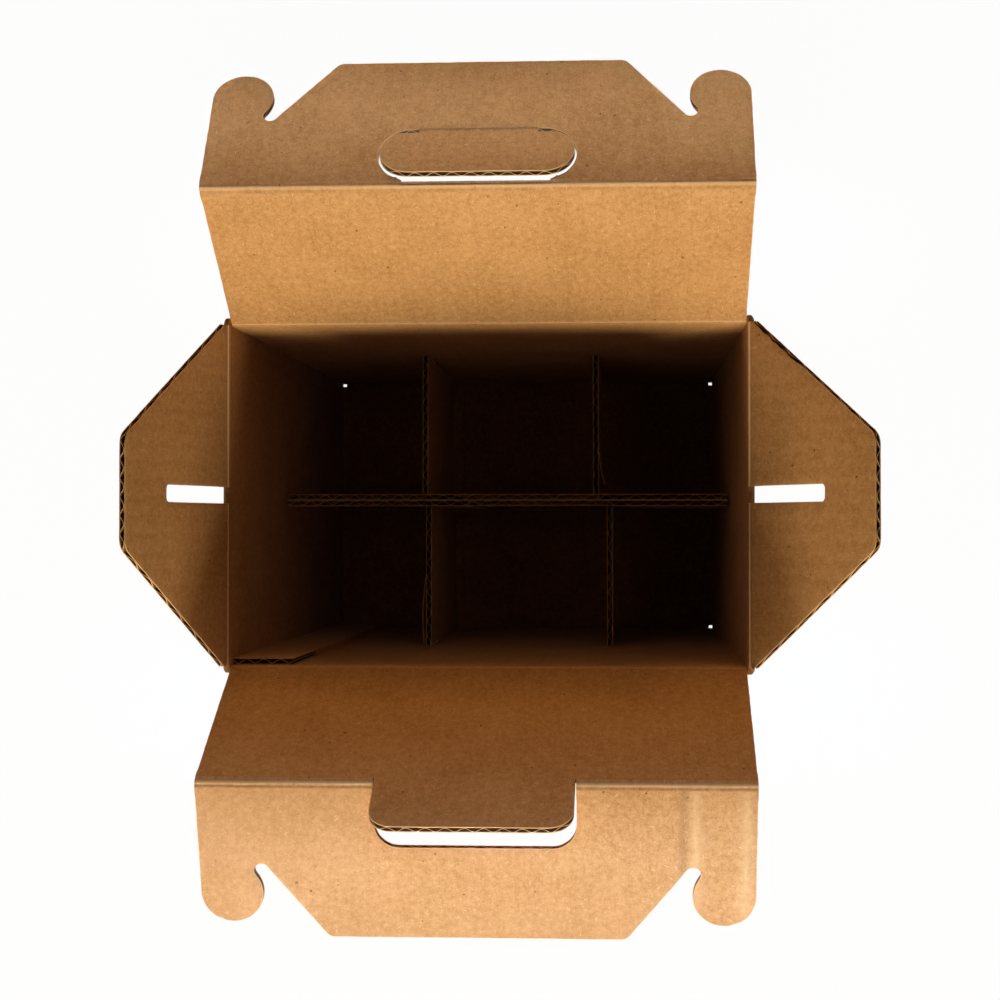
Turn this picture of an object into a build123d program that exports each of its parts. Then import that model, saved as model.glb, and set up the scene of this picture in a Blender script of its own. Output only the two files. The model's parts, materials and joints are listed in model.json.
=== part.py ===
from build123d import *
from math import asin, atan2, cos, degrees, hypot, pi, radians, sin, sqrt, tan
import os

# Bottle carrier for six, folded from single wall corrugated board.
# Frame: origin under the middle of the base, X to the right, Y to the back, Z up.

# Board
BOARD = 3.4
# Clearance between pieces that are folded past each other
SLIP = 0.3
# Half of the slit at the bottom of every crease
CREASE_SLIT = 0.28

# Tube of four walls, measured between the middles of opposite boards
LENGTH = 254.0
WIDTH = 169.0
HEIGHT = 330.0
CORNER_RADIUS = 3.0
# The end folds sit higher, because the end flaps close over the roof panels
END_FOLD_RISE = 4.0

# Base
BASE_SLOT = 2.3
SIDE_FLAP_SLOT = 2.0
BASE_SEAM = 1.0
# The front and back base flaps meet a little to the front of the middle
BASE_SEAM_Y = -4.0

# Glued seam of the tube, inside the front wall at the left corner
SEAM_WIDTH = 30.0
SEAM_DROP = 4.0

# Roof panels and the handle panels beyond them
PANEL_GAP = 0.4
HANDLE_GAP = 0.5
TOP_HEIGHT = 74.1
TOP_CORNER_RADIUS = 5.0

# Hook lobes at both ends of a handle panel, heights above its fold
LOBE_RADIUS = 14.2
NOTCH_RADIUS = 3.3
NOTCH_INSET = 28.1
NOTCH_HEIGHT = 42.0

# Hand holes and their tabs
HAND_WIDTH = 90.0
HAND_HEIGHT = 30.0
HAND_LIP = 2.0
BACK_TAB_FOLD = 54.0
FRONT_CUT_RADIUS = 11.0
FRONT_TAB_CLEARANCE = 0.4
BACK_TAB_CLEARANCE = 0.8

# End flaps
END_FLAP_DEPTH = 82.0
END_FLAP_TOP = 50.0
END_FLAP_START = 3.0
END_FLAP_CORNER_RADIUS = 8.0
END_FLAP_INSET = 1.5
SLOT_CLEARANCE = 0.3
SLOT_PAST_NOTCH = 2.0
SLOT_CORNER_RADIUS = 2.0

# Bevels of the two boards at a crease, measured from square
INNER_BEVEL = 46.5
OUTER_BEVEL = 56.0
TAB_BEVEL = 52.0

# How the carrier stands: angles above level, and the bend at each handle fold.
# The back tab stands a little inward of its panel, which counts as below zero.
BACK_ROOF_ANGLE = 50.3
FRONT_ROOF_ANGLE = 57.3
BACK_BEND = 79.7
FRONT_BEND = 71.9
BACK_TAB_ANGLE = -8.0
LEFT_FLAP_ANGLE = 70.3
RIGHT_FLAP_ANGLE = 52.0

# Divider: two sheets glued back to back, with two cells folded out of each
DIVIDER_TOP = 202.0
DIVIDER_END_GAP = 1.8
TOP_STRIP = 12.0
BOTTOM_STRIP = 40.0
BACK_FIRST_CELL = 80.0
BACK_WINDOW_RIB = 14.5
FRONT_FIRST_CELL = 82.0
FRONT_WINDOW_RIB = 20.5
CELL_WALL_GAP = 0.3
BEND_RADIUS = 2.6
WINDOW_GAP = 1.0

# Worked out from the sizes above
HALF = BOARD / 2
HALF_LENGTH = LENGTH / 2
HALF_WIDTH = WIDTH / 2
END_FOLD = HEIGHT + END_FOLD_RISE
INNER_X = HALF_LENGTH - HALF
INNER_Y = HALF_WIDTH - HALF
PANEL_X = INNER_X - PANEL_GAP
HANDLE_Y = HALF + HANDLE_GAP / 2
ROOF = HALF_WIDTH - HANDLE_Y
# With the carrier closed, the front tab lies under the back roof panel
CLOSED_STEP = BOARD + 2 * SLIP
CLOSED_SLOPE = degrees(asin(CLOSED_STEP / (2 * ROOF)))
NOTCH_X = PANEL_X - NOTCH_INSET
CLOSED_FLAP_ANGLE = degrees(atan2(NOTCH_HEIGHT - END_FOLD_RISE, HALF_LENGTH - NOTCH_X))
NOTCH_REACH = hypot(NOTCH_HEIGHT - END_FOLD_RISE, HALF_LENGTH - NOTCH_X)
SLOT_WIDTH = 2 * BOARD + HANDLE_GAP + 2 * SLOT_CLEARANCE
SLOT_END = NOTCH_REACH + SLOT_PAST_NOTCH


def crease(width, inner=INNER_BEVEL, outer=OUTER_BEVEL, reach=3 * BOARD):
    """What a crease takes off the board on its +Y side, with the inner face up."""
    profile = Polyline(
        (0, -reach, -BOARD),
        (0, CREASE_SLIT + BOARD * tan(radians(outer)), -BOARD),
        (0, CREASE_SLIT, 0),
        (0, CREASE_SLIT + BOARD * tan(radians(inner)), BOARD),
        (0, -reach, BOARD),
        close=True,
    )
    return extrude(make_face(profile), width / 2, both=True, dir=(1, 0, 0))


def flip():
    """Turns a crease round, so that it cuts the board on its -Y side."""
    return Rot(0, 0, 180)


def board(outline):
    return extrude(outline, HALF, both=True)


def handle_outline():
    """Handle panel from its fold up, with a hook lobe and a notch at each end."""
    lobe = Vector(PANEL_X - LOBE_RADIUS, 0)
    notch = Vector(NOTCH_X, NOTCH_HEIGHT)
    span = LOBE_RADIUS + NOTCH_RADIUS
    lobe.Y = notch.Y + sqrt(span**2 - (lobe.X - notch.X) ** 2)
    top = TOP_HEIGHT
    slope = radians(CLOSED_FLAP_ANGLE)

    def on(centre, radius, angle):
        return (centre.X + radius * cos(angle), centre.Y + radius * sin(angle))

    neck_angle = atan2(notch.Y - lobe.Y, notch.X - lobe.X) + 2 * pi
    neck = on(lobe, LOBE_RADIUS, neck_angle)
    low_angle = atan2(-cos(slope), -sin(slope))
    low = on(notch, NOTCH_RADIUS, low_angle)
    middle_angle = (neck_angle - pi + low_angle) / 2
    run = (top - low[1]) / sin(slope)
    corner = (low[0] - run * cos(slope), top)
    side = (PANEL_X, lobe.Y)
    edge = [
        Line((0, 0), (PANEL_X, 0)),
        Line((PANEL_X, 0), side),
        ThreePointArc(side, on(lobe, LOBE_RADIUS, neck_angle / 2), neck),
        ThreePointArc(neck, on(notch, NOTCH_RADIUS, middle_angle), low),
        Line(low, corner),
        Line(corner, (0, top)),
        Line((0, top), (0, 0)),
    ]
    half = make_face(edge)
    whole = half + mirror(half, Plane.YZ)
    corners = [v for v in whole.vertices() if abs(v.Y - top) < 0.01 and abs(v.X) > 1]
    return fillet(corners, TOP_CORNER_RADIUS)


def back_handle():
    panel = board(handle_outline()) - crease(LENGTH)
    hole = Pos(0, HAND_LIP + HAND_HEIGHT / 2) * SlotOverall(HAND_WIDTH, HAND_HEIGHT)
    panel -= board(hole)
    hinge = Pos(0, HAND_LIP + HAND_HEIGHT)
    groove = crease(HAND_WIDTH - HAND_HEIGHT / 3, TAB_BEVEL, TAB_BEVEL, HALF)
    return panel - hinge * groove


def back_tab():
    """Push-in flap of the back hand hole, hung from its fold at Y = 0."""
    height = HAND_HEIGHT - 2 * BACK_TAB_CLEARANCE
    width = HAND_WIDTH - 2 * BACK_TAB_CLEARANCE
    outline = Pos(0, -HAND_HEIGHT / 2) * SlotOverall(width, height)
    root = Pos(0, -HAND_HEIGHT / 4) * Rectangle(BACK_TAB_FOLD, HAND_HEIGHT / 2)
    flap = board(outline + root)
    return flap - flip() * crease(HAND_WIDTH, TAB_BEVEL, TAB_BEVEL, HALF)


def roof_panel():
    outline = Pos(0, ROOF / 2) * Rectangle(2 * PANEL_X, ROOF)
    panel = board(outline) - crease(LENGTH)
    return panel - Pos(0, ROOF) * flip() * crease(LENGTH)


def front_cut(width, height, start):
    """U-shaped cut below the front handle fold, and the tab that it leaves."""
    flap = Pos(0, (height + start) / 2) * Rectangle(width, height - start)
    ends = [v for v in flap.vertices() if v.Y > 0]
    return fillet(ends, FRONT_CUT_RADIUS)


def front_handle():
    panel = board(handle_outline()) - crease(LENGTH)
    return panel - board(front_cut(HAND_WIDTH, HAND_HEIGHT, -HAND_LIP))


def front_roof():
    reach = 2 * BOARD * tan(radians(OUTER_BEVEL))
    width = HAND_WIDTH - 2 * FRONT_TAB_CLEARANCE
    tab = board(front_cut(width, HAND_HEIGHT - FRONT_TAB_CLEARANCE, -reach))
    return roof_panel() + Pos(0, ROOF) * tab


def end_flap():
    """End flap with the slot that drops over both hooks."""
    base = HALF_WIDTH - END_FLAP_INSET
    edge = Polyline(
        (-base, 0),
        (base, 0),
        (base, END_FLAP_START),
        (END_FLAP_TOP / 2, END_FLAP_DEPTH),
        (-END_FLAP_TOP / 2, END_FLAP_DEPTH),
        (-base, END_FLAP_START),
        close=True,
    )
    outline = make_face(edge)
    corners = [v for v in outline.vertices() if v.Y > END_FLAP_DEPTH - 1]
    flap = board(fillet(corners, END_FLAP_CORNER_RADIUS)) - crease(WIDTH + BOARD)
    slot = Pos(0, SLOT_END / 2 - BOARD) * Rectangle(SLOT_WIDTH, SLOT_END + 2 * BOARD)
    ends = [v for v in slot.vertices() if v.Y > 0]
    return flap - board(fillet(ends, SLOT_CORNER_RADIUS))


def carton():
    """Tube, glued seam and the four base flaps, folded from one sheet."""
    outer = RectangleRounded(LENGTH + BOARD, WIDTH + BOARD, CORNER_RADIUS)
    inner = Rectangle(2 * INNER_X, 2 * INNER_Y)
    tube = Pos(0, 0, BOARD) * extrude(outer - inner, END_FOLD - BOARD)
    for turn in (0, 180):
        side = Rot(0, 0, turn) * Pos(0, HALF_WIDTH, HEIGHT) * Rot(90, 0, 0)
        tube -= side * flip() * crease(2 * INNER_X)
        end = Rot(0, 0, turn) * Pos(HALF_LENGTH, 0, END_FOLD) * Rot(0, -90, 0) * Rot(0, 0, -90)
        tube -= end * flip() * crease(WIDTH + 2 * BOARD)
    for turn in (0, 180):
        length = HALF_WIDTH + HALF
        flap = Box(length, 2 * (INNER_Y - SIDE_FLAP_SLOT), BOARD)
        place = Pos(HALF_LENGTH + HALF - length / 2, 0, 1.5 * BOARD)
        tube += Rot(0, 0, turn) * place * flap
    edges = tube.edges().filter_by(Axis.Y).filter_by(lambda e: abs(e.center().Z - BOARD) < 0.01)
    rim = [e for e in edges if abs(e.center().X) > HALF_LENGTH]
    tube = fillet(rim, BEND_RADIUS)
    for turn, past_middle in ((0, -BASE_SEAM_Y), (180, BASE_SEAM_Y)):
        length = HALF_WIDTH + HALF + past_middle - BASE_SEAM / 2
        flap = Box(2 * (INNER_X - BASE_SLOT), length, BOARD)
        fold = flap.edges().filter_by(Axis.X).sort_by(lambda e: (e.center().Z, -e.center().Y))[0]
        flap = fillet(fold, BEND_RADIUS)
        tube += Rot(0, 0, turn) * Pos(0, HALF_WIDTH + HALF - length / 2, HALF) * flap
    height = HEIGHT - SEAM_DROP - 2 * BOARD
    seam = Box(SEAM_WIDTH, BOARD, height)
    place = Pos(-INNER_X + SEAM_WIDTH / 2, -INNER_Y + HALF, 2 * BOARD + height / 2)
    return tube + place * seam


def divider(first_cell, rib):
    """One divider sheet on the +Y side, with two cell walls folded out of windows.

    The rib is the board that is left between the two windows.
    """
    low = 2 * BOARD
    half = INNER_X - DIVIDER_END_GAP
    height = DIVIDER_TOP - low
    sheet = Pos(0, HALF, low + height / 2) * Box(2 * half, BOARD, height)
    window = height - TOP_STRIP - BOTTOM_STRIP
    middle = low + BOTTOM_STRIP + window / 2
    depth = INNER_Y - CELL_WALL_GAP
    first_fold = first_cell - INNER_X
    for fold in (first_fold, first_fold + depth + rib):
        hole = Pos(fold - depth / 2, HALF, middle) * Box(depth, 3 * BOARD, window)
        sheet -= hole
        wall = Pos(fold - HALF, depth / 2, middle) * Box(BOARD, depth, window - 2 * WINDOW_GAP)
        bend = [
            e
            for e in wall.edges().filter_by(Axis.Z)
            if abs(e.center().Y) < 0.01 and e.center().X < fold - HALF
        ]
        sheet += fillet(bend, BEND_RADIUS)
    return sheet


BACK_FRAME = Pos(0, HALF_WIDTH, HEIGHT) * Rot(BACK_ROOF_ANGLE, 0, 0)
BACK_HANDLE_FRAME = BACK_FRAME * Pos(0, ROOF) * Rot(-BACK_BEND, 0, 0)
BACK_TAB_FRAME = BACK_HANDLE_FRAME * Pos(0, HAND_LIP + HAND_HEIGHT) * Rot(BACK_TAB_ANGLE, 0, 0)
FRONT_FRAME = Pos(0, -HALF_WIDTH, HEIGHT) * Rot(-FRONT_ROOF_ANGLE, 0, 0) * Rot(0, 0, 180)
FRONT_HANDLE_FRAME = FRONT_FRAME * Pos(0, ROOF) * Rot(-FRONT_BEND, 0, 0)
LEFT_FRAME = Pos(-HALF_LENGTH, 0, END_FOLD) * Rot(0, LEFT_FLAP_ANGLE, 0) * Rot(0, 0, 90)
RIGHT_FRAME = Pos(HALF_LENGTH, 0, END_FOLD) * Rot(0, -RIGHT_FLAP_ANGLE, 0) * Rot(0, 0, -90)

nodes = {
    "carton_body": carton(),
    "divider_back_sheet": divider(BACK_FIRST_CELL, BACK_WINDOW_RIB),
    "divider_front_sheet": mirror(divider(FRONT_FIRST_CELL, FRONT_WINDOW_RIB), Plane.XZ),
    "back_roof_panel": BACK_FRAME * roof_panel(),
    "back_handle_panel": BACK_HANDLE_FRAME * back_handle(),
    "back_hand_hole_tab": BACK_TAB_FRAME * back_tab(),
    "front_roof_panel": FRONT_FRAME * front_roof(),
    "front_handle_panel": FRONT_HANDLE_FRAME * front_handle(),
    "left_end_flap": LEFT_FRAME * end_flap(),
    "right_end_flap": RIGHT_FRAME * end_flap(),
}

os.makedirs("parts", exist_ok=True)
for name, solid in nodes.items():
    export_step(solid, f"parts/{name}.step")
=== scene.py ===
"""Looks of a bottle carrier of corrugated board: fluted cut edges, pressed folds, wear, and the studio around it."""

import json
from math import ceil, cos, exp, pi, radians, sin

import bmesh
import bpy
from bpy.props import FloatProperty, FloatVectorProperty, PointerProperty
from mathutils import Matrix, Vector, noise
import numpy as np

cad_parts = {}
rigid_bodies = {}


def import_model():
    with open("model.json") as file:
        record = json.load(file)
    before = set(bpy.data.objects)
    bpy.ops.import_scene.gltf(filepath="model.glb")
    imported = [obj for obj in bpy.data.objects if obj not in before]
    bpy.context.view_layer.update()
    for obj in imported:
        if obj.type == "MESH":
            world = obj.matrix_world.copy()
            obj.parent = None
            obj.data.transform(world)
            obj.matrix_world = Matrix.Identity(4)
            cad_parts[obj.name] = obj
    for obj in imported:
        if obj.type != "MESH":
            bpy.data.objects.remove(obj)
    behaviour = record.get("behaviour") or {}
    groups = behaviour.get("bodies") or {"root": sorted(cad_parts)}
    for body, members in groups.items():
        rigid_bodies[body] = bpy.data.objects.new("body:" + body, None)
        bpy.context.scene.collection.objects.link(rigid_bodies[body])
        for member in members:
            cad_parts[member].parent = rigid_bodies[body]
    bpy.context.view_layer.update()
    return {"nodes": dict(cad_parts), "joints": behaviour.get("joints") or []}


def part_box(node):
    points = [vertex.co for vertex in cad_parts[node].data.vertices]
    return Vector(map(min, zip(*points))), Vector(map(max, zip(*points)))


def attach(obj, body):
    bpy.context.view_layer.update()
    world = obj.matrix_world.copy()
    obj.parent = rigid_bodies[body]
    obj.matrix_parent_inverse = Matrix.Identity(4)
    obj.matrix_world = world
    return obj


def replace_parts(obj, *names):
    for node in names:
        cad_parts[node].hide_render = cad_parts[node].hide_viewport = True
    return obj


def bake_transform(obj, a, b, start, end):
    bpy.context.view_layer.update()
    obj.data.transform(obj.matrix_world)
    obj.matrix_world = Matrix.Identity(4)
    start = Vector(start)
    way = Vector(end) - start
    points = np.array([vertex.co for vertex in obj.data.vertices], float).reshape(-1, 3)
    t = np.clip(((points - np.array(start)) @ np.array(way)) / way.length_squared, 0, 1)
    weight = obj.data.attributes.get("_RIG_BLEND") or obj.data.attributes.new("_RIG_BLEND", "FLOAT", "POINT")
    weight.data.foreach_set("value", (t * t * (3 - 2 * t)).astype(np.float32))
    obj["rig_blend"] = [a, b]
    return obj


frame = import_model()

bl_info = {
    "name": "Bottle carrier",
    "version": (1, 0, 0),
    "blender": (4, 5, 0),
    "location": "View3D > Sidebar > Carrier",
    "description": "Dresses a folded bottle carrier in corrugated board",
    "category": "Object",
}

MM = 0.001
JOINTS = {joint["name"]: joint for joint in frame["joints"]}


# Settings

def length(name, description, default):
    return FloatProperty(name=name, description=description, default=default * MM, unit="LENGTH")


def tint(name, description, default):
    return FloatVectorProperty(name=name, description=description, subtype="COLOR", size=3, default=default)


class CarrierBoard(bpy.types.PropertyGroup):
    """Sizes of the board and of what wear has done to it."""

    thickness: length("Board", "Thickness of the whole board", 3.4)
    liner: length("Liner", "Thickness of each liner", 0.38)
    medium: length("Medium", "Thickness of the fluted sheet", 0.28)
    pitch: length("Flute pitch", "Length of one full wave", 8.3)
    press: length("Pressed edge", "How far a cut edge is pressed in", 0.18)
    press_width: length("Pressed width", "Width of the pressed band", 1.8)
    fray: length("Fray", "Raggedness of a cut edge", 0.12)
    inner_bevel: length("Inner fold", "Half width of a fold on the inner face", 2.1)
    outer_bevel: length("Outer fold", "Half width of a fold on the outer face", 2.84)
    tab_bevel: length("Tab fold", "Half width of the fold of the hand hole tab", 2.5)
    grid: length("Grid", "Size of the squares in a liner", 5.0)
    bow: length("Bow", "How far a panel bows out of flat", 0.22)


class CarrierFinish(bpy.types.PropertyGroup):
    """Colours of the board."""

    light: tint("Light kraft", "Palest tone of the liner", (0.60, 0.315, 0.125))
    dark: tint("Dark kraft", "Deepest tone of the liner", (0.40, 0.185, 0.055))
    # Also painted shade: this dark tone is painted into the groove along the tab's fold and into sunken soft creases.
    speck_and_shade: tint("Specks", "Dark specks in the pulp", (0.10, 0.045, 0.018))
    fibre: tint("Fibres", "Pale fibres in the pulp", (0.78, 0.52, 0.29))
    # Partly painted highlight: cut rims and folds get this pale tone as raw paper and as light caught by the edge.
    cut: tint("Cut paper", "Raw edge of the paper", (0.72, 0.44, 0.22))
    # Painted shade: the fluted sheet deep inside a cut edge is painted this dark tone in place of the shade in its
    # holes.
    flutes: tint("Flutes", "Fluted sheet between the liners", (0.15, 0.07, 0.026))
    # Also painted light: this pale tone is painted on the divider's rims near its top and on the bright middle of the
    # end flaps' folds; it also marks the ragged top of a loose liner.
    torn: tint("Torn paper", "Fuzzy rim of paper that was torn or cut blunt", (0.95, 0.74, 0.50))


class CarrierStage(bpy.types.PropertyGroup):
    """Camera and background."""

    eye: FloatVectorProperty(
        name="Eye", description="Place of the camera", subtype="XYZ", unit="LENGTH", size=3,
        default=(66.5 * MM, -17.5 * MM, 1138.5 * MM),
    )
    tilt: FloatVectorProperty(
        name="Tilt", description="Turn of the camera away from straight down", subtype="EULER", size=3,
        default=(radians(0.71), radians(2.8), radians(-0.05)),
    )
    lens: FloatProperty(name="Lens", description="Focal length in millimetres on a 36 mm sensor", default=60.31)
    shift_x: FloatProperty(name="Shift X", description="Sideways shift of the lens", default=-0.0429)
    shift_y: FloatProperty(name="Shift Y", description="Upward shift of the lens", default=0.0105)
    floor: length("Floor", "Half width of the floor", 6000.0)


GROUPS = {"carrier_board": CarrierBoard, "carrier_finish": CarrierFinish, "carrier_stage": CarrierStage}


# What each vert of a board tells the paper: raw rim with a painted highlight, rubbed fold with a painted highlight,
# painted shade in a groove, and depth inside a cut edge, where the flutes get painted shade
MARKS = ("cut", "crease", "groove", "inset")


# Node expressions

class Value:
    """A node's socket, so that maths on it can be written as an expression."""

    def __init__(self, tree, socket):
        self.tree, self.socket = tree, socket

    def node(self, kind, settings=None, sockets=None, output=0):
        """Another node in the same tree."""
        return add_node(self.tree, kind, settings, sockets, output)

    def maths(self, operation, *values):
        sockets = dict(enumerate(values))
        return self.node("ShaderNodeMath", {"operation": operation}, sockets)

    def __add__(self, other):
        return self.maths("ADD", self, other)

    def __radd__(self, other):
        return self.maths("ADD", other, self)

    def __sub__(self, other):
        return self.maths("SUBTRACT", self, other)

    def __rsub__(self, other):
        return self.maths("SUBTRACT", other, self)

    def __mul__(self, other):
        return self.maths("MULTIPLY", self, other)

    def __rmul__(self, other):
        return self.maths("MULTIPLY", other, self)

    def __truediv__(self, other):
        return self.maths("DIVIDE", self, other)

    def __gt__(self, other):
        return self.maths("GREATER_THAN", self, other)

    def __lt__(self, other):
        return self.maths("LESS_THAN", self, other)

    def sine(self):
        return self.maths("SINE", self)

    def power(self, exponent):
        return self.maths("POWER", self, exponent)

    def between(self, low, high):
        """0 below low, 1 above high, smooth in between."""
        sockets = {"Value": self, "From Min": low, "From Max": high}
        return self.node("ShaderNodeMapRange", {"interpolation_type": "SMOOTHSTEP"}, sockets)


def add_node(tree, kind, settings=None, sockets=None, output=0):
    """Makes a node from its settings and its sockets' values or links, and gives one of its outputs."""
    node = tree.nodes.new(kind)
    for key, value in (settings or {}).items():
        setattr(node, key, value)
    for key, value in (sockets or {}).items():
        socket = node.inputs[key]
        if isinstance(value, Value):
            tree.links.new(value.socket, socket)
        else:
            socket.default_value = value
    return Value(tree, node.outputs[output])


def blend_colour(factor, low, high):
    """Mixes two colours; each is a Value or a tuple."""
    def full(colour):
        return colour if isinstance(colour, Value) else (*colour, 1.0)

    settings = {"data_type": "RGBA", "clamp_factor": True}
    return factor.node("ShaderNodeMix", settings, {0: factor, 6: full(low), 7: full(high)}, 2)


def pulp(point, scale, detail=3.0, roughness=0.6, stretch=(1, 1, 1), offset=(0, 0, 0), turn=0.0):
    """Cloudy noise in the paper; scale is in clouds per millimetre."""
    if turn:
        point = point.node("ShaderNodeMapping", {}, {"Vector": point, "Rotation": (0, 0, turn)})
    sockets = {"Vector": point, "Location": offset, "Scale": stretch}
    spread = point.node("ShaderNodeMapping", {}, sockets)
    sockets = {"Vector": spread, "Scale": scale, "Detail": detail, "Roughness": roughness}
    return point.node("ShaderNodeTexNoise", {}, sockets)


def kraft_material(name, settings, inside=False):
    """Kraft paper: clouds, mottling, fibres and specks, on the sheet's own millimetres, with painted highlights at
    rims and folds and painted shade in grooves and deep in the flutes.
    """
    board = bpy.context.scene.carrier_board
    material = bpy.data.materials.new(name)
    material.use_nodes = True
    tree = material.node_tree
    tree.nodes.clear()
    sheet = add_node(tree, "ShaderNodeAttribute", {"attribute_name": "sheet"}, output=1)
    cut, crease, groove = (
        add_node(tree, "ShaderNodeAttribute", {"attribute_name": name}, output=2) for name in MARKS[:3]
    )
    across = sheet.node("ShaderNodeSeparateXYZ", {}, {0: sheet})

    clouds = pulp(sheet, 0.035, 1.0)
    mottle = pulp(sheet, 0.38, 3.0, 0.7)
    grain = pulp(sheet, 1.5, 1.0, 0.7)
    streaks = pulp(sheet, 0.55, 2.0, 0.6, stretch=(1.9, 0.22, 1))
    flutes = (across * (2 * pi / (board.pitch / MM))).sine()
    tone = 0.5 + (clouds - 0.5) * 0.7 + (mottle - 0.5) * 1.9 + (grain - 0.5) * 1.3
    # The flutes' washboard adds faint stripes of painted shade and light across the liner, beside its bump.
    tone = tone + (streaks - 0.5) * 0.5 + flutes * 0.03
    colour = blend_colour(tone, settings.dark, settings.light)

    pale = 0.0
    for turn, offset in ((0.4, (31, 7, 3)), (-0.7, (5, 61, 11)), (1.5, (17, 23, 41))):
        hairs = pulp(sheet, 0.5, 1.0, 0.5, (0.45, 3.4, 1), offset, turn)
        pale = hairs.between(0.715, 0.765) + pale
    colour = blend_colour(pale * 0.7, colour, settings.fibre)
    cells = {"Vector": sheet, "Scale": 0.16}
    distance = sheet.node("ShaderNodeTexVoronoi", {}, cells, 0)
    pick = sheet.node("ShaderNodeTexVoronoi", {}, cells, 1)
    chance = sheet.node("ShaderNodeSeparateColor", {}, {0: pick})
    specks = (distance < chance.power(2.0) * 0.11) * (chance > 0.45)
    colour = blend_colour(specks * 0.75, colour, settings.speck_and_shade)
    # Folds are paler: part rubbed paper and part painted highlight on the bent ridge; the strongest fold marks also
    # get the pale torn tone as painted highlight.
    colour = blend_colour(crease * (0.45 + mottle * 0.6), colour, settings.cut)
    colour = blend_colour(crease.between(0.9, 1.8), colour, settings.torn)
    # Cut rims are paler: raw paper, partly a painted highlight where the edge catches light; rims marked 2 get the
    # pale torn tone as painted light.
    colour = blend_colour(cut.between(0.7, 1.0) * 0.8, colour, settings.cut)
    colour = blend_colour(cut.between(1.2, 2.0), colour, settings.torn)
    # Painted shade: grooves are darkened towards the speck colour.
    colour = blend_colour(groove, colour, settings.speck_and_shade)
    # Painted shade: in the medium, the flutes darken with depth inside a cut edge.
    if inside:
        inset = add_node(tree, "ShaderNodeAttribute", {"attribute_name": "inset"}, output=2)
        flute_shade = inset.between(0.0, 0.5 * MM)
        colour = blend_colour(flute_shade, colour, settings.flutes)

    height = mottle * 0.6 + grain * 0.4 + flutes * 0.35
    sockets = {"Height": height, "Strength": 0.4, "Distance": 0.14 * MM}
    bump = sheet.node("ShaderNodeBump", {}, sockets)
    roughness = 0.78 + (mottle - 0.5) * 0.2
    sockets = {"Base Color": colour, "Roughness": roughness, "Normal": bump, "Specular IOR Level": 0.25}
    surface = sheet.node("ShaderNodeBsdfPrincipled", {}, sockets)
    end = tree.nodes.new("ShaderNodeOutputMaterial")
    tree.links.new(surface.socket, end.inputs["Surface"])
    return material


def flute_tree():
    """Geometry nodes that turn flat bands inside a cut edge into the waves of the fluted sheet."""
    tree = bpy.data.node_groups.new("Flutes", "GeometryNodeTree")
    tree.interface.new_socket("Geometry", in_out="INPUT", socket_type="NodeSocketGeometry")
    sizes = {"Pitch": 8.3 * MM, "Rise": 1.3 * MM, "Press": 0.4 * MM, "Press Width": 2.6 * MM, "Waver": 0.5}
    for name, default in sizes.items():
        socket = tree.interface.new_socket(name, in_out="INPUT", socket_type="NodeSocketFloat")
        socket.default_value = default
    tree.interface.new_socket("Material", in_out="INPUT", socket_type="NodeSocketMaterial")
    tree.interface.new_socket("Geometry", in_out="OUTPUT", socket_type="NodeSocketGeometry")
    start = tree.nodes.new("NodeGroupInput")
    geometry, pitch, rise, press, width, waver, material = (Value(tree, start.outputs[i]) for i in range(7))
    place = add_node(tree, "GeometryNodeInputPosition")
    inset = add_node(tree, "GeometryNodeInputNamedAttribute", {"data_type": "FLOAT"}, {"Name": "inset"})
    across = add_node(tree, "ShaderNodeSeparateXYZ", {}, {0: place})
    drift = add_node(tree, "ShaderNodeTexNoise", {}, {"Vector": place, "Scale": 55.0, "Detail": 1.0})
    turn = across / pitch * (2 * pi) + (drift - 0.5) * waver
    pressed = press * (1 - (inset / width).between(0.0, 1.0))
    lift = turn.sine() * (rise - pressed)
    raise_by = add_node(tree, "ShaderNodeCombineXYZ", {}, {2: lift})
    moved = add_node(tree, "GeometryNodeSetPosition", {}, {"Geometry": geometry, "Offset": raise_by})
    real = add_node(tree, "GeometryNodeRealizeInstances", {}, {0: moved})
    dressed = add_node(tree, "GeometryNodeSetMaterial", {}, {"Geometry": real, "Material": material})
    end = tree.nodes.new("NodeGroupOutput")
    tree.links.new(dressed.socket, end.inputs[0])
    return tree


# Planes and outlines

def joint_point(name):
    """A point on a joint's axis."""
    return Vector(JOINTS[name]["pos_m"])


def plane(origin, across, along):
    """Frame of a board: X across its flutes, Y along them, Z out of its inner face."""
    x, y = Vector(across).normalized(), Vector(along).normalized()
    matrix = Matrix((x, y, x.cross(y))).transposed().to_4x4()
    matrix.translation = Vector(origin)
    return matrix


def fold_plane(joint_name, node):
    """Frame of the board that turns on a joint, with Y away from its fold."""
    joint = JOINTS[joint_name]
    axis, origin = Vector(joint["axis"]), Vector(joint["pos_m"])
    mesh = frame["nodes"][node].data
    faces = [f for f in mesh.polygons if abs(f.normal.dot(axis)) < 0.01 and f.normal.z > 0]
    up = max(faces, key=lambda face: face.area).normal.copy()
    lo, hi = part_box(node)
    along = up.cross(axis)
    if along.dot((lo + hi) / 2 - origin) < 0:
        along.negate()
    return plane(origin, along.cross(up), along)


def node_lines(node, place):
    """Outlines of both faces of a CAD node's board, with the board on the left of each run."""
    half = bpy.context.scene.carrier_board.thickness / 2
    tops, bottoms = outlines(flat_region(node, place, half)), outlines(flat_region(node, place, -half))
    return tops, [line[::-1] for line in bottoms]


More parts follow.
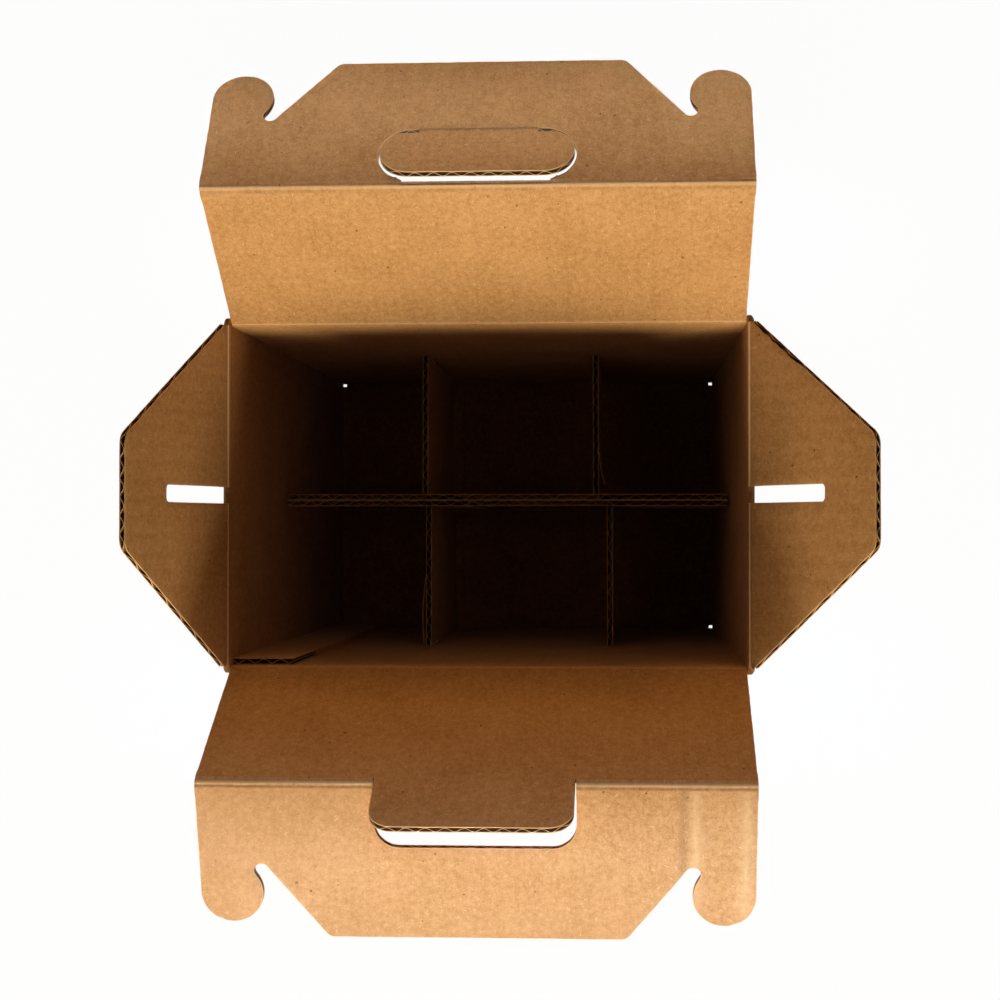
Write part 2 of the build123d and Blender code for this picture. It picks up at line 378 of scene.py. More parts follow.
def flat_region(node, place, height):
    """The faces of a CAD node that lie at a height over a plane, in that plane's frame."""
    region = bmesh.new()
    region.from_mesh(frame["nodes"][node].data)
    region.transform(place.inverted())
    bmesh.ops.remove_doubles(region, verts=region.verts, dist=0.01 * MM)
    away = [f for f in region.faces if any(abs(v.co.z - height) > 0.04 * MM for v in f.verts)]
    bmesh.ops.delete(region, geom=away, context="FACES")
    return region


def outlines(region):
    """Closed runs of points round a flat region, with the board on the left."""
    after = {}
    for edge in region.edges:
        if len(edge.link_loops) == 1:
            loop = edge.link_loops[0]
            after[loop.vert] = loop.link_loop_next.vert
    runs = []
    while after:
        start = next(iter(after))
        run, point = [start], after.pop(start)
        while point is not start:
            run.append(point)
            point = after.pop(point)
        runs.append([vert.co.to_2d() for vert in run])
    return runs


def cut_runs(outline, on_fold):
    """The stretches of an outline that are cut edges, not folds."""
    count = len(outline)
    ends = [(outline[i], outline[(i + 1) % count]) for i in range(count)]
    folded = [on_fold((a + b) / 2) for a, b in ends]
    if not any(folded):
        return [outline + outline[:1]]
    first = folded.index(True)
    runs, run = [], []
    for k in range(1, count + 1):
        i = (first + k) % count
        if folded[i]:
            if run:
                runs.append(run + [outline[i]])
            run = []
        else:
            run.append(outline[i])
    return runs


def resample(run, step):
    """A run with points no further apart than a step."""
    points = []
    for a, b in zip(run, run[1:]):
        count = max(1, ceil((b - a).length / step))
        points += [a.lerp(b, k / count) for k in range(count)]
    return points + [run[-1]]


def inward(points):
    """Unit vectors to the left of a run, which point into the board."""
    ways = []
    for i in range(len(points)):
        a, b = points[max(i - 1, 0)], points[min(i + 1, len(points) - 1)]
        way = (b - a).normalized()
        ways.append(Vector((-way.y, way.x)))
    return ways


# Meshes

def layers(mesh):
    """Gives a mesh its marks."""
    for name in MARKS:
        if name not in mesh.verts.layers.float:
            mesh.verts.layers.float.new(name)


def refine(mesh, step):
    """Cuts a flat mesh into squares, so that it can bow."""
    for axis in range(2):
        low = min(v.co[axis] for v in mesh.verts)
        high = max(v.co[axis] for v in mesh.verts)
        normal = Vector((1, 0, 0)) if axis == 0 else Vector((0, 1, 0))
        for k in range(ceil(low / step), ceil(high / step)):
            geometry = mesh.verts[:] + mesh.edges[:] + mesh.faces[:]
            bmesh.ops.bisect_plane(mesh, geom=geometry, plane_co=normal * (k * step), plane_no=normal)


# Above this height in the divider the rims are painted pale, as painted light where light falls on its top, and below
# it they are plain
TOP_RIMS = 150 * MM

# Soft creases across a board, by its seed: place, half width and depth; a sunken one also paints a band of shade into
# the colour and a raised one a band of light
DENTS = {
    4: ((-92 * MM, 2.2 * MM, 0.6 * MM), (-97.5 * MM, 2.6 * MM, -0.2 * MM), (-120 * MM, 2.4 * MM, -0.3 * MM)),
}


def dent(x, at, width):
    """How strongly a soft crease marks a place across the board."""
    return exp(-(((x - at) / width) ** 2))


def bowed(x, y, seed, bow):
    """Height of a panel's gentle bow, nothing at its fold."""
    rise = min(max((y - 2 * MM) / (25 * MM), 0), 1)
    broad = noise.noise(Vector((x * 9, y * 14, seed)))
    ripple = noise.noise(Vector((x * 45, y * 30, seed + 5)))
    sunk = sum(depth * dent(x, at, width) for at, width, depth in DENTS.get(seed, ()))
    return (broad + 0.3 * ripple) * bow * rise - sunk * rise


def corner_ways(points):
    """Inward steps of a closed run, lengthened at its corners so that each side moves in by one."""
    count = len(points)
    normals = []
    for i in range(count):
        way = (points[(i + 1) % count] - points[i]).normalized()
        normals.append(Vector((-way.y, way.x)))
    ways = []
    for i in range(count):
        way = normals[i - 1] + normals[i]
        ways.append(way / max(way.length_squared / 2, 0.6))
    return ways


def thicken(mesh, shift):
    """Gives a sheet its thickness to one side, and closes it all round. The new side is an inner one."""
    made = bmesh.ops.extrude_face_region(mesh, geom=mesh.faces[:], use_keep_orig=True)
    for item in made["geom"]:
        if isinstance(item, bmesh.types.BMVert):
            item.co += shift
        elif isinstance(item, bmesh.types.BMFace):
            item.material_index = 1
    bmesh.ops.recalc_face_normals(mesh, faces=mesh.faces[:])


def untorn(point, side):
    """A liner that isn't torn anywhere."""
    return 0.0


def torn_right_flap(point, side):
    """How far the top liner is torn back along the rear slope of the right flap, next to its fold."""
    along = (point.y - 4 * MM) / (34 * MM)
    if side < 0 or point.x > -30 * MM or not 0 < along < 1:
        return 0.0
    return (0.9 + 0.9 * noise.noise(Vector((point.y * 330, 0, 3)))) * MM * min(1, 5 * (1 - along))


def liner(lines, side, on_fold, rim_tone, torn):
    """A liner inside its outlines: pressed thin along its cuts, with its own thickness."""
    board = bpy.context.scene.carrier_board
    skin = bmesh.new()
    layers(skin)
    cut, inset = skin.verts.layers.float["cut"], skin.verts.layers.float["inset"]
    height = side * board.thickness / 2
    inner_edges = []
    for line in lines:
        points = resample(line + line[:1], board.grid / 2)[:-1]
        count = len(points)
        held = [on_fold((points[i] + points[(i + 1) % count]) / 2) for i in range(count)]
        rim, ring = [], []
        for i, (point, way) in enumerate(zip(points, corner_ways(points))):
            outer = skin.verts.new((*point, height))
            if not (held[i] or held[i - 1]):
                uneven = 0.75 + 0.5 * noise.noise(outer.co * 160)
                outer.co.z -= side * board.press * uneven
                fray = board.fray * (1 + noise.noise(outer.co * 400 + Vector((side, 0, 0)))) + torn(point, side)
                outer.co += (way * min(fray, 0.8 * board.press_width)).to_3d()
                outer[cut] = rim_tone
            rim.append(outer)
            ring.append(skin.verts.new((*(point + way * board.press_width), height)))
            ring[-1][inset] = board.press_width
        for i in range(count):
            j = (i + 1) % count
            skin.faces.new((rim[i], rim[j], ring[j], ring[i]))
            inner_edges.append(skin.edges.get((ring[i], ring[j])))
    bmesh.ops.triangle_fill(skin, use_beauty=True, use_dissolve=False, edges=inner_edges)
    refine(skin, board.grid)
    thicken(skin, Vector((0, 0, -side * board.liner)))
    return skin


def flute_bands(runs, low, rim_tone):
    """Flat bands inside the cut edges, which the geometry nodes turn into flutes."""
    board = bpy.context.scene.carrier_board
    bands = bmesh.new()
    layers(bands)
    inset, cut = bands.verts.layers.float["inset"], bands.verts.layers.float["cut"]
    steps = [depth * MM for depth in (0.05, 0.5, 1.2, 2.4, 4.6, 8)]
    for run in runs:
        points = resample(run, board.pitch / 12)
        ways = inward(points)
        rows = []
        for point, way in zip(points, ways):
            row = []
            for depth in steps:
                vert = bands.verts.new((point + way * depth).to_3d())
                vert[inset], vert[cut] = depth, rim_tone if depth == steps[0] else 0.0
                row.append(vert)
            rows.append(row)
        for here, there in zip(rows, rows[1:]):
            for k in range(len(steps) - 1):
                bands.faces.new((here[k], there[k], there[k + 1], here[k + 1]))
    geometry = bands.verts[:] + bands.edges[:] + bands.faces[:]
    bmesh.ops.bisect_plane(bands, geom=geometry, plane_co=(0, low, 0), plane_no=(0, -1, 0), clear_outer=True)
    return bands


def fluted(bands, seed):
    """Runs the flute nodes on flat bands and returns the waves as a mesh."""
    scene = bpy.context.scene
    board = scene.carrier_board
    mesh = bpy.data.meshes.new("flutes")
    bands.to_mesh(mesh)
    bands.free()
    carrier = bpy.data.objects.new("flutes", mesh)
    scene.collection.objects.link(carrier)
    modifier = carrier.modifiers.new("Flutes", "NODES")
    modifier.node_group = bpy.data.node_groups["Flutes"]
    values = {
        "Pitch": board.pitch,
        "Rise": board.thickness / 2 - board.liner - board.medium / 2,
        "Press": board.press,
        "Press Width": board.press_width,
        "Waver": 0.5 + 0.3 * sin(seed),
        "Material": bpy.data.materials["kraft_medium"],
    }
    for item in modifier.node_group.interface.items_tree:
        if item.in_out == "INPUT" and item.name in values:
            modifier[item.identifier] = values[item.name]
    bpy.context.view_layer.update()
    graph = bpy.context.evaluated_depsgraph_get()
    made = bpy.data.meshes.new_from_object(carrier.evaluated_get(graph))
    bpy.data.objects.remove(carrier)
    return made


def board_mesh(tops, bottoms, place, on_fold, seed, bow=1.0, rim_tone=1.0, torn=untorn):
    """One board: two liners that are pressed together at the cuts, and the flutes between them."""
    board = bpy.context.scene.carrier_board
    whole = bmesh.new()
    layers(whole)
    for side, lines in ((1, tops), (-1, bottoms)):
        skin = liner(lines, side, on_fold, rim_tone, torn)
        data = bpy.data.meshes.new("skin")
        skin.to_mesh(data)
        skin.free()
        whole.from_mesh(data)
    count = len(whole.faces)
    runs = [run for line in tops for run in cut_runs(line, on_fold)]
    low = min(point.y for line in tops for point in line)
    waves = fluted(flute_bands(runs, low, rim_tone), seed)
    inner = bmesh.new()
    inner.from_mesh(waves)
    thicken(inner, Vector((0, 0, -board.medium)))
    inner.to_mesh(waves)
    inner.free()
    whole.from_mesh(waves)
    for face in list(whole.faces)[count:]:
        face.material_index = 1
    sheet = whole.verts.layers.float_vector.new("sheet")
    cut, crease, groove = (whole.verts.layers.float[name] for name in MARKS[:3])
    for vert in whole.verts:
        x, y, z = vert.co
        vert[sheet] = (x / MM, y / MM, 40 * seed + 3 * z / MM)
        vert.co.z += bowed(x, y, seed, board.bow * bow)
        # Below TOP_RIMS the rims keep only the plain rim tone, without the pale painted light.
        if y < TOP_RIMS:
            vert[cut] = min(vert[cut], 1.0)
        # Sunken dents paint a dark band, as painted shade, and raised ones a light band, as painted light.
        for at, width, depth in DENTS.get(seed, ()):
            mark, strength = (groove, 0.28) if depth > 0 else (crease, 0.6)
            vert[mark] += strength * dent(x, at, width)
    whole.transform(place)
    return whole


def make_piece(name, meshes, body=None):
    """Joins meshes into one finished object, with smooth faces and sharp edges."""
    whole = bmesh.new()
    layers(whole)
    whole.verts.layers.float_vector.new("sheet")
    for mesh in meshes:
        part = bpy.data.meshes.new("part")
        mesh.to_mesh(part)
        mesh.free()
        whole.from_mesh(part)
    for face in whole.faces:
        face.smooth = True
    for edge in whole.edges:
        edge.smooth = edge.calc_face_angle(0) < radians(35)
    data = bpy.data.meshes.new(name)
    whole.to_mesh(data)
    whole.free()
    for material in ("kraft_liner", "kraft_medium"):
        data.materials.append(bpy.data.materials[material])
    made = bpy.data.objects.new(name, data)
    bpy.context.scene.collection.objects.link(made)
    if body:
        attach(made, body)
    return made


def fluted_board(name, node, place, body, on_fold, seed, torn=untorn):
    """The board of a panel of its own, in place of its CAD node."""
    mesh = board_mesh(*node_lines(node, place), place, on_fold, seed, torn=torn)
    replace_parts(make_piece(name, [mesh], body), node)


def loose_liner(path, low, high, seed):
    """A strip of liner that has come loose and curls away from a cell wall, seen from above as a line."""
    board = bpy.context.scene.carrier_board
    mesh = bmesh.new()
    layers(mesh)
    sheet = mesh.verts.layers.float_vector.new("sheet")
    cut = mesh.verts.layers.float["cut"]
    step, count = 1.2, 12
    points = resample([Vector(point) * MM for point in path], step * MM)
    ways = inward(points)
    rows = []
    for k in range(count + 1):
        drop = k / count
        row = []
        for i, (point, way) in enumerate(zip(points, ways)):
            ragged = 1.2 * MM * (1 + noise.noise(Vector((i * 0.9, seed, 0)))) if k == 0 else 0
            close = way * (drop**2 * 1.2 * MM)
            vert = mesh.verts.new((*(point + close), high * MM - ragged - drop * (high - low) * MM))
            vert[sheet] = (i * step, 70 * drop, seed)
            vert[cut] = 2.0 if k == 0 else 0.5
            row.append(vert)
        rows.append(row)
    for here, there in zip(rows, rows[1:]):
        for i in range(len(points) - 1):
            mesh.faces.new((here[i], here[i + 1], there[i + 1], there[i]))
    thicken(mesh, ways[0].to_3d() * board.liner)
    return mesh


def rectangle(left, right, low, high):
    """The outline of an upright board, from sizes in millimetres."""
    corners = ((left, low), (right, low), (right, high), (left, high))
    return [[Vector(corner) * MM for corner in corners]]


# Folds

def fold_strip(name, joint_name, child_plane, parent_along, parent_up, spans, seed, inner, outer, ridge=1.0, fold_tone=1.0):
    """The pressed strip of board at a fold. It bends between its two bodies as they turn."""
    board = bpy.context.scene.carrier_board
    half = board.thickness / 2
    joint = JOINTS[joint_name]
    fold = child_plane.translation
    across = child_plane.col[0].to_3d()
    child_along, child_up = child_plane.col[1].to_3d(), child_plane.col[2].to_3d()
    back, up = Vector(parent_along).normalized(), Vector(parent_up).normalized()
    steps = 14

    def face_point(t, side, reach, limit):
        height = side * half
        first = fold - back * reach + up * height
        last = fold + child_along * min(reach, limit) + child_up * height
        corner = fold + (up + child_up) / (1 + up.dot(child_up)) * height
        point = first * (1 - t) ** 2 + corner * (2 * t * (1 - t)) + last * t**2
        normal = (up * (1 - t) + child_up * t).normalized() * side
        s = 2 * t - 1
        grooves = exp(-(((abs(s) - 0.55) / 0.22) ** 2))
        return point - normal * (0.36 * MM * ridge * grooves)

    mesh = bmesh.new()
    layers(mesh)
    sheet = mesh.verts.layers.float_vector.new("sheet")
    crease, groove = mesh.verts.layers.float["crease"], mesh.verts.layers.float["groove"]
    for low, high, *limits in spans:
        limit = limits[0] if limits else 1.0
        columns = []
        count = max(2, ceil((high - low) / (5 * MM)))
        for k in range(count + 1):
            x = low + (high - low) * k / count
            ring = []
            for side, reach in ((1, inner), (-1, outer)):
                order = range(steps + 1) if side == 1 else range(steps, -1, -1)
                for step in order:
                    t = step / steps
                    wander = 0.09 * MM * noise.noise(Vector((x * 120, t * 3, seed)))
                    point = face_point(t, side, reach, limit) + across * x
                    inside = 4 * t * (1 - t)
                    vert = mesh.verts.new(point + child_up * wander * inside)
                    vert[sheet] = (x / MM, (2 * t - 1) * reach / MM, 40 * seed + side)
                    # Middle of the fold: fold_tone paints it paler, part rubbed paper and part painted highlight; a
                    # fold_tone below 1 paints shade into its groove instead.
                    vert[crease] = fold_tone * exp(-(((2 * t - 1) / 0.35) ** 2)) * inside
                    vert[groove] = max(0.0, 1 - fold_tone) * 0.5 * exp(-(((2 * t - 1) / 0.3) ** 2)) * (side > 0)
                    ring.append(vert)
            columns.append(ring)
        size = len(columns[0])
        for here, there in zip(columns, columns[1:]):
            for i in range(size):
                j = (i + 1) % size
                mesh.faces.new((here[i], there[i], there[j], here[j]))
        mesh.faces.new(list(reversed(columns[0])))
        mesh.faces.new(columns[-1])
    bmesh.ops.recalc_face_normals(mesh, faces=mesh.faces)
    made = make_piece(name, [mesh])
    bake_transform(made, joint["parent"], joint["child"], start=fold - back * outer, end=fold + child_along * outer)


def spans_at(region, height):
    """Stretches of board that a flat region has along its edge at a height."""
    found = []
    for edge in region.edges:
        a, b = edge.verts
        if edge.is_boundary and max(abs(a.co.y - height), abs(b.co.y - height)) < 0.05 * MM:
            found.append(tuple(sorted((a.co.x, b.co.x))))
    found.sort()
    spans = []
    for low, high in found:
        if spans and low - spans[-1][1] < 0.05 * MM:
            spans[-1][1] = max(high, spans[-1][1])
        else:
            spans.append([low, high])
    return spans


def near_edge(node, place):
    """The spans of board along the edge that is nearest to a fold."""
    half = bpy.context.scene.carrier_board.thickness / 2
    region = flat_region(node, place, half)
    height = min(vert.co.y for vert in region.verts)
    spans = spans_at(region, height)
    region.free()
    return spans


# Operators

class CarrierOperator:
    """What every step has in common."""

    bl_options = {"REGISTER", "UNDO"}


class OBJECT_OT_carrier_finishes(CarrierOperator, bpy.types.Operator):
    """Makes the kraft paper finishes and the flute nodes"""

    bl_idname = "object.carrier_finishes"
    bl_label = "Board finishes"

    def execute(self, context):
        finish = context.scene.carrier_finish
        kraft_material("kraft_liner", finish)
        # The medium's material also paints shade deep inside the flutes.
        kraft_material("kraft_medium", finish, inside=True)
        flute_tree()
        return {"FINISHED"}


class OBJECT_OT_carrier_roofs(CarrierOperator, bpy.types.Operator):
    """Builds the two roof panels and the fold of each at the wall"""

    bl_idname = "object.carrier_roofs"
    bl_label = "Roof panels"

    def execute(self, context):
        board = context.scene.carrier_board
        for seed, side, toward in ((1, "back", -1), (2, "front", 1)):
            node = f"{side}_roof_panel"
            place = fold_plane(f"{side}_roof_fold", node)
            far = (joint_point(f"{side}_handle_fold") - place.translation).length

            def on_fold(point, far=far):
                return point.y < 4 * MM or abs(point.y - far) < 4 * MM

            fluted_board(f"{side}_roof_board", node, place, f"{side}_roof", on_fold, seed)
            spans = near_edge(node, place)
            fold_strip(
                f"{side}_roof_crease", f"{side}_roof_fold", place, (0, 0, 1), (0, toward, 0), spans, seed,
                board.inner_bevel, board.outer_bevel,
            )
        return {"FINISHED"}


# Half lengths of the back hand hole at its fold and where its slopes start, and the height of that start
HOLE_FOOT, HOLE_SIDE, HOLE_START = 33.5 * MM, 35.88 * MM, 3.2 * MM


def open_below(line):
    """Ends the back hand hole in short slopes at the fold below it."""
    low = min(point.y for point in line)
    inside = [abs(p.x) < 60 * MM and p.y < HOLE_START for p in line]
    if not any(inside):
        return line
    made = []
    for i, point in enumerate(line):
        before, after = line[i - 1], line[(i + 1) % len(line)]
        if not inside[i]:
            made.append(point)
        elif not inside[i - 1] and before.y < HOLE_START:
            side = 1 if before.x > 0 else -1
            made += [Vector((side * HOLE_FOOT, low)), Vector((side * HOLE_SIDE, HOLE_START))]
        elif not inside[(i + 1) % len(line)] and after.y < HOLE_START:
            side = 1 if after.x > 0 else -1
            made += [Vector((side * HOLE_SIDE, HOLE_START)), Vector((side * HOLE_FOOT, low))]
    return made


def hand_hole(line):
    """Gives the back hand hole its true rounded outline above, with a gap for the tab's fold alone."""
    line = open_below(line)
    inside = [abs(p.x) < 40.5 * MM and 28 * MM < p.y < 36 * MM for p in line]
    if not any(inside):
        return line
    start = next(i for i in range(len(line)) if inside[i] and not inside[i - 1])
    turned = line[start:] + line[:start]
    kept = turned[sum(inside):]
    side = 1 if kept[-1].x > 0 else -1
    arc = [Vector((30 + 15 * cos(a), 17 + 15 * sin(a))) for a in (radians(48 + 6 * k) for k in range(8))]
    half = arc + [Vector((27, 32)), Vector((27, 34.456))]
    first = [Vector((side * p.x, p.y)) * MM for p in half]
    last = [Vector((-side * p.x, p.y)) * MM for p in reversed(half)]
    return kept + first + last


class OBJECT_OT_carrier_handles(CarrierOperator, bpy.types.Operator):
    """Builds the two handle panels, the tab of the back hand hole and their folds"""

    bl_idname = "object.carrier_handles"
    bl_label = "Handle panels"

    def execute(self, context):
        board = context.scene.carrier_board
        for seed, side in ((3, "back"), (4, "front")):
            node = f"{side}_handle_panel"
            place = fold_plane(f"{side}_handle_fold", node)
            roof = fold_plane(f"{side}_roof_fold", f"{side}_roof_panel")

            def on_fold(point, side=side):
                hinge = side == "back" and 33 * MM < point.y < 35 * MM and abs(point.x) < 28 * MM
                return point.y < 4 * MM or hinge

            tops, bottoms = node_lines(node, place)
            if side == "back":
                tops, bottoms = [[hand_hole(line) for line in lines] for lines in (tops, bottoms)]
            mesh = board_mesh(tops, bottoms, place, on_fold, seed)
            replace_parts(make_piece(f"{side}_handle_board", [mesh], f"{side}_handle"), node)
            spans = near_edge(node, place)
            if side == "back":
                low, high, edge = spans[0][0], spans[-1][1], HOLE_FOOT
                spans = [(low, -edge), (-edge, edge, 1.1 * MM), (edge, high)]
            fold_strip(
                f"{side}_handle_crease", f"{side}_handle_fold", place, roof.col[1].to_3d(), roof.col[2].to_3d(),
                spans, seed, board.inner_bevel, board.outer_bevel,
            )
        node = "back_hand_hole_tab"
        place = fold_plane("back_tab_fold", node)
        panel = fold_plane("back_handle_fold", "back_handle_panel")

        def on_tab_fold(point):
            return point.y < 3 * MM and abs(point.x) < 27.2 * MM

        fluted_board("back_tab_board", node, place, "back_tab", on_tab_fold, 5)
        # The tab's fold gets a fold_tone of 0, which paints shade into its groove in place of a paler middle.
        fold_strip(
            "back_tab_crease", "back_tab_fold", place, -panel.col[1].to_3d(), panel.col[2].to_3d(),
            [(-27 * MM, 27 * MM)], 5, board.tab_bevel, board.tab_bevel, ridge=1.6, fold_tone=0.0,
        )
        return {"FINISHED"}


class OBJECT_OT_carrier_end_flaps(CarrierOperator, bpy.types.Operator):
    """Builds the slotted end flaps and the fold of each at the wall"""

    bl_idname = "object.carrier_end_flaps"
    bl_label = "End flaps"

    def execute(self, context):
        board = context.scene.carrier_board
        for seed, side, toward in ((6, "left", 1), (7, "right", -1)):
            node = f"{side}_end_flap"
            place = fold_plane(f"{side}_flap_fold", node)
            torn = torn_right_flap if side == "right" else untorn
            ends = {"on_fold": lambda point: point.y < 2.9 * MM, "seed": seed, "torn": torn}
            fluted_board(f"{side}_flap_board", node, place, f"{side}_flap", **ends)
            spans = near_edge(node, place)
            spans[0][0] += 0.4 * MM
            spans[-1][1] -= 0.4 * MM
            # The end flaps' folds get a strong fold_tone, a painted highlight on their bright ridge.
            fold_strip(
                f"{side}_flap_crease", f"{side}_flap_fold", place, (0, 0, 1), (toward, 0, 0), spans, seed,
                board.inner_bevel, board.outer_bevel, ridge=1.5, fold_tone=2.6,
            )
        return {"FINISHED"}


class OBJECT_OT_carrier_tube(CarrierOperator, bpy.types.Operator):
    """Dresses the walls, the base flaps and the glued seam, whose top shows its flutes"""

    bl_idname = "object.carrier_tube"
    bl_label = "Tube and base"

    def execute(self, context):
        board = context.scene.carrier_board
        seam_top, seam_foot, base_seam = 326, 266, -4 * MM
        whole = bmesh.new()
        whole.from_mesh(frame["nodes"]["carton_body"].data)
        bmesh.ops.remove_doubles(whole, verts=whole.verts, dist=0.01 * MM)
        for vert in whole.verts:
            if abs(vert.co.z - seam_top * MM) < 0.1 * MM:
                vert.co.z -= (seam_top - seam_foot) * MM
            if abs(vert.co.y - base_seam) < 0.6 * MM and vert.co.z < board.thickness * 1.01:
                vert.co.y = base_seam
        dress(whole, 8)
        place = plane((0, -82.8 * MM + board.thickness / 2, 0), (1, 0, 0), (0, 0, 1))
        lines = rectangle(-125.3, -95.3, seam_foot, seam_top)

        def on_fold(point):
            return point.y < (seam_foot + 1) * MM or point.x < -125 * MM

        seam = board_mesh(lines, lines, place, on_fold, 12, bow=0)
        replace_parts(make_piece("carton_board", [whole, seam], "carton"), "carton_body")
        return {"FINISHED"}


# Where a liner has come loose from a cell wall, in millimetres from above
LOOSE = {
    "back": ((51.9, 27), (52.3, 20), (53.4, 14), (55.0, 9.0)),
    "front": ((-46.9, -42), (-47.9, -50), (-48.7, -60), (-48.8, -70), (-48.2, -81)),
}


# Of each divider sheet: seed, side, way out from the middle, and the folds of its cell walls in millimetres
DIVIDERS = ((20, "back", 1, (-45.3, 51.7)), (30, "front", -1, (-43.3, 59.7)))


class OBJECT_OT_carrier_divider(CarrierOperator, bpy.types.Operator):
    """Builds the two divider sheets with their cell walls"""

    bl_idname = "object.carrier_divider"
    bl_label = "Divider"

    def execute(self, context):
        half = context.scene.carrier_board.thickness / 2
        for seed, side, way, folds in DIVIDERS:
            node = f"divider_{side}_sheet"
            place = plane((0, way * half, 0), (1, 0, 0), (0, 0, 1))
            lines = node_lines(node, place)[0 if way > 0 else 1]
            # rim_tone 2, here and on the cell walls, paints the upper rims pale, as painted light on the divider's
            # top.
            meshes = [board_mesh(lines, lines, place, lambda point: False, seed, bow=0, rim_tone=2.0)]
            for count, fold in enumerate(folds):
                wall = plane((fold * MM - half, 0, 0), (0, way, 0), (0, 0, 1))
                lines = rectangle(0.4, 82.5, 47.8, 189)
                ends = {"seed": seed + count + 1, "bow": 2.0, "rim_tone": 2.0}
                meshes.append(board_mesh(lines, lines, wall, lambda point: point.x < 1 * MM, **ends))
            meshes.append(loose_liner(LOOSE[side], 120, 188.8, seed))
            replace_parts(make_piece(f"divider_{side}_board", meshes, "carton"), node)
        return {"FINISHED"}


def dress(whole, seed):
    """Gives the verts of a solid the sheet's millimetres, face by face."""
    bmesh.ops.split_edges(whole, edges=[e for e in whole.edges if e.calc_face_angle(0) > radians(30)])
    layers(whole)
    sheet = whole.verts.layers.float_vector.new("sheet")
    whole.normal_update()
    for face in whole.faces:
        n = [abs(c) for c in face.normal]
        wide = n.index(max(n))
        for vert in face.verts:
            x, y, z = vert.co / MM
            vert[sheet] = ((y, z, 40 * seed), (x, z, 40 * seed + 7), (x, y, 40 * seed + 13))[wide]


# Azimuth from the front, elevation, aim, distance, width, height, spread, power and colour of each lamp
LAMPS = {
    "front_low": (0, 20, (0, 0, 0.38), 1.6, 1.0, 0.4, 180, 39.5, (1.0, 0.92, 0.70)),
    "back_low": (180, 14, (0, 0, 0.38), 1.6, 1.0, 0.3, 180, 8.1, (1.0, 0.60, 0.20)),
    "front_beam": (0, 82, (-0.01, -0.176, 0.39), 1.0, 0.55, 0.03, 8, 0.170, (0.46, 0.65, 0.98)),
    "back_beam": (0, 90, (0, 0.175, 0.375), 1.0, 0.45, 0.03, 7, 0.080, (0.66, 0.80, 1.0)),
}


def seen_ray(tree):
    """1 on the rays that see the background: straight, mirrored or through glass."""
    path = tree.nodes.new("ShaderNodeLightPath")
    camera, glossy, through = (
        Value(tree, path.outputs[f"Is {kind} Ray"]) for kind in ("Camera", "Glossy", "Transmission")
    )
    return camera + glossy + through


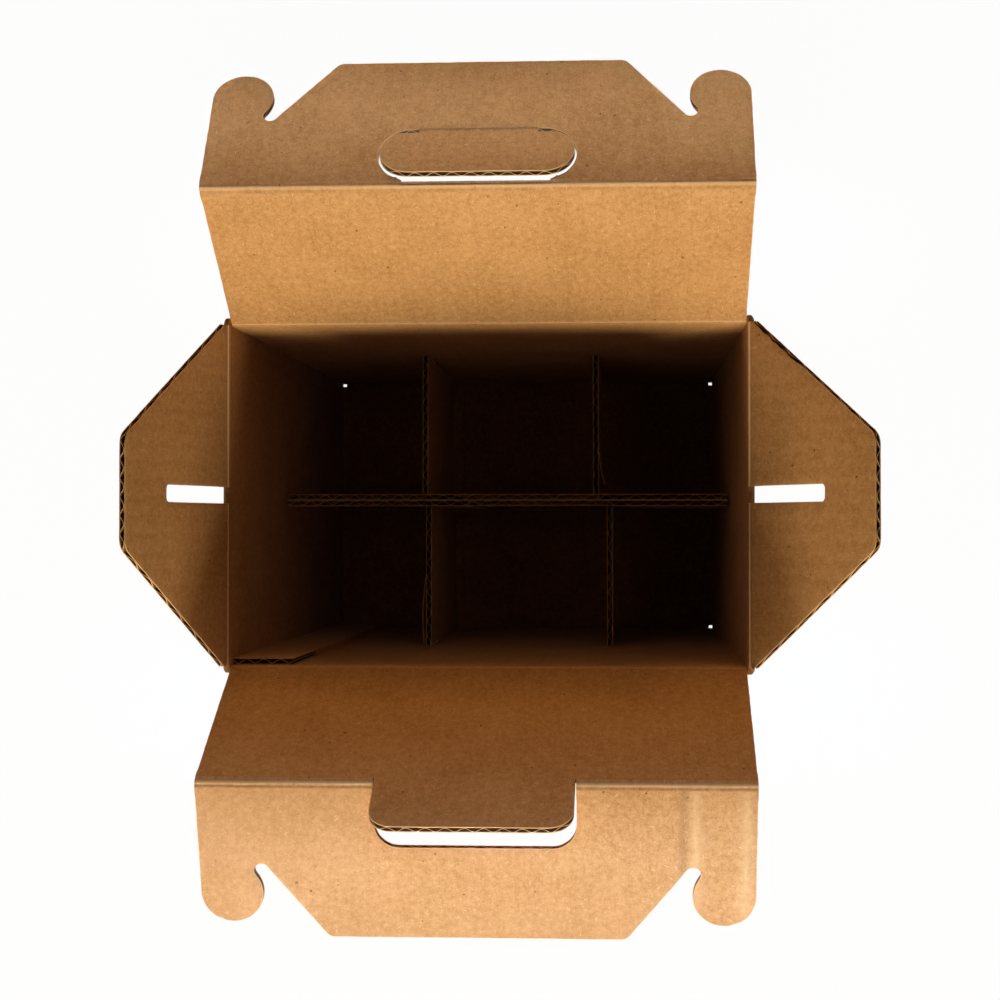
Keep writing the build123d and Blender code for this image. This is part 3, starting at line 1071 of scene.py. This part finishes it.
class OBJECT_OT_carrier_stage(CarrierOperator, bpy.types.Operator):
    """Sets the floor, the lamps, the background and the camera"""

    bl_idname = "object.carrier_stage"
    bl_label = "Studio"

    def execute(self, context):
        scene = context.scene
        stage = scene.carrier_stage
        scene.view_settings.view_transform = "Standard"
        self.floor(stage)
        self.background(scene)
        for name, values in LAMPS.items():
            self.lamp(name, *values)
        camera = bpy.data.objects.new("camera", bpy.data.cameras.new("camera"))
        scene.collection.objects.link(camera)
        tilt = stage.tilt
        turn = Matrix.Rotation(tilt[0], 3, "X") @ Matrix.Rotation(tilt[1], 3, "Y") @ Matrix.Rotation(tilt[2], 3, "Z")
        camera.matrix_world = Matrix.Translation(Vector(stage.eye)) @ turn.to_4x4()
        camera.data.sensor_width = 36.0
        camera.data.lens = stage.lens
        camera.data.shift_x, camera.data.shift_y = stage.shift_x, stage.shift_y
        scene.camera = camera
        return {"FINISHED"}

    def floor(self, stage):
        size = stage.floor
        corners = [(-size, -size, 0), (size, -size, 0), (size, size, 0), (-size, size, 0)]
        data = bpy.data.meshes.new("floor")
        data.from_pydata(corners, [], [(0, 1, 2, 3)])
        made = bpy.data.objects.new("floor", data)
        bpy.context.scene.collection.objects.link(made)
        material = bpy.data.materials.new("floor")
        material.use_nodes = True
        tree = material.node_tree
        tree.nodes.clear()
        seen = seen_ray(tree)
        plain = add_node(tree, "ShaderNodeBsdfDiffuse", {}, {"Color": (0.8, 0.8, 0.8, 1)})
        white = add_node(tree, "ShaderNodeEmission", {}, {"Color": (1, 1, 1, 1), "Strength": 1.0})
        place = add_node(tree, "ShaderNodeTexCoord", {}, {}, output=3)
        far = place.node("ShaderNodeVectorMath", {"operation": "LENGTH"}, {0: place}, 1).between(0.5, 1.8)
        mixed = add_node(tree, "ShaderNodeMixShader", {}, {0: seen * (0.97 + far * 0.03), 1: plain, 2: white})
        end = tree.nodes.new("ShaderNodeOutputMaterial")
        tree.links.new(mixed.socket, end.inputs["Surface"])
        data.materials.append(material)

    def background(self, scene):
        world = bpy.data.worlds.new("studio")
        world.use_nodes = True
        tree = world.node_tree
        tree.nodes.clear()
        seen = seen_ray(tree)
        dim = add_node(tree, "ShaderNodeBackground", {}, {"Color": (1, 1, 1, 1), "Strength": 0.008})
        white = add_node(tree, "ShaderNodeBackground", {}, {"Color": (1, 1, 1, 1), "Strength": 1.0})
        mixed = add_node(tree, "ShaderNodeMixShader", {}, {0: seen, 1: dim, 2: white})
        end = tree.nodes.new("ShaderNodeOutputWorld")
        tree.links.new(mixed.socket, end.inputs["Surface"])
        scene.world = world

    def lamp(self, name, azimuth, elevation, aim, distance, width, height, spread, watts, colour):
        light = bpy.data.lights.new(name, "AREA")
        light.shape, light.size, light.size_y = "RECTANGLE", width, height
        light.spread, light.energy, light.color = radians(spread), watts, colour
        made = bpy.data.objects.new(name, light)
        bpy.context.scene.collection.objects.link(made)
        a, e = radians(azimuth), radians(elevation)
        way = Vector((sin(a) * cos(e), -cos(a) * cos(e), sin(e)))
        made.location = Vector(aim) + way * distance
        made.rotation_euler = way.to_track_quat("Z", "Y").to_euler()


class VIEW3D_PT_carrier(bpy.types.Panel):
    """Lists the steps that dress the carrier"""

    bl_label = "Bottle carrier"
    bl_idname = "VIEW3D_PT_carrier"
    bl_space_type = "VIEW_3D"
    bl_region_type = "UI"
    bl_category = "Carrier"

    def draw(self, context):
        for step in STEPS:
            self.layout.operator(step.bl_idname)
        for group in GROUPS:
            box = self.layout.box()
            settings = getattr(context.scene, group)
            for name in type(settings).__annotations__:
                box.prop(settings, name)


STEPS = (
    OBJECT_OT_carrier_finishes,
    OBJECT_OT_carrier_tube,
    OBJECT_OT_carrier_divider,
    OBJECT_OT_carrier_roofs,
    OBJECT_OT_carrier_handles,
    OBJECT_OT_carrier_end_flaps,
    OBJECT_OT_carrier_stage,
)


def register():
    for group in GROUPS.values():
        bpy.utils.register_class(group)
    for name, group in GROUPS.items():
        setattr(bpy.types.Scene, name, PointerProperty(type=group))
    for step in STEPS:
        bpy.utils.register_class(step)
    bpy.utils.register_class(VIEW3D_PT_carrier)


def unregister():
    bpy.utils.unregister_class(VIEW3D_PT_carrier)
    for step in reversed(STEPS):
        bpy.utils.unregister_class(step)
    for name in GROUPS:
        delattr(bpy.types.Scene, name)
    for group in GROUPS.values():
        bpy.utils.unregister_class(group)


def main():
    register()
    for step in STEPS:
        group, name = step.bl_idname.split(".")
        getattr(getattr(bpy.ops, group), name)()


if __name__ == "__main__":
    main()
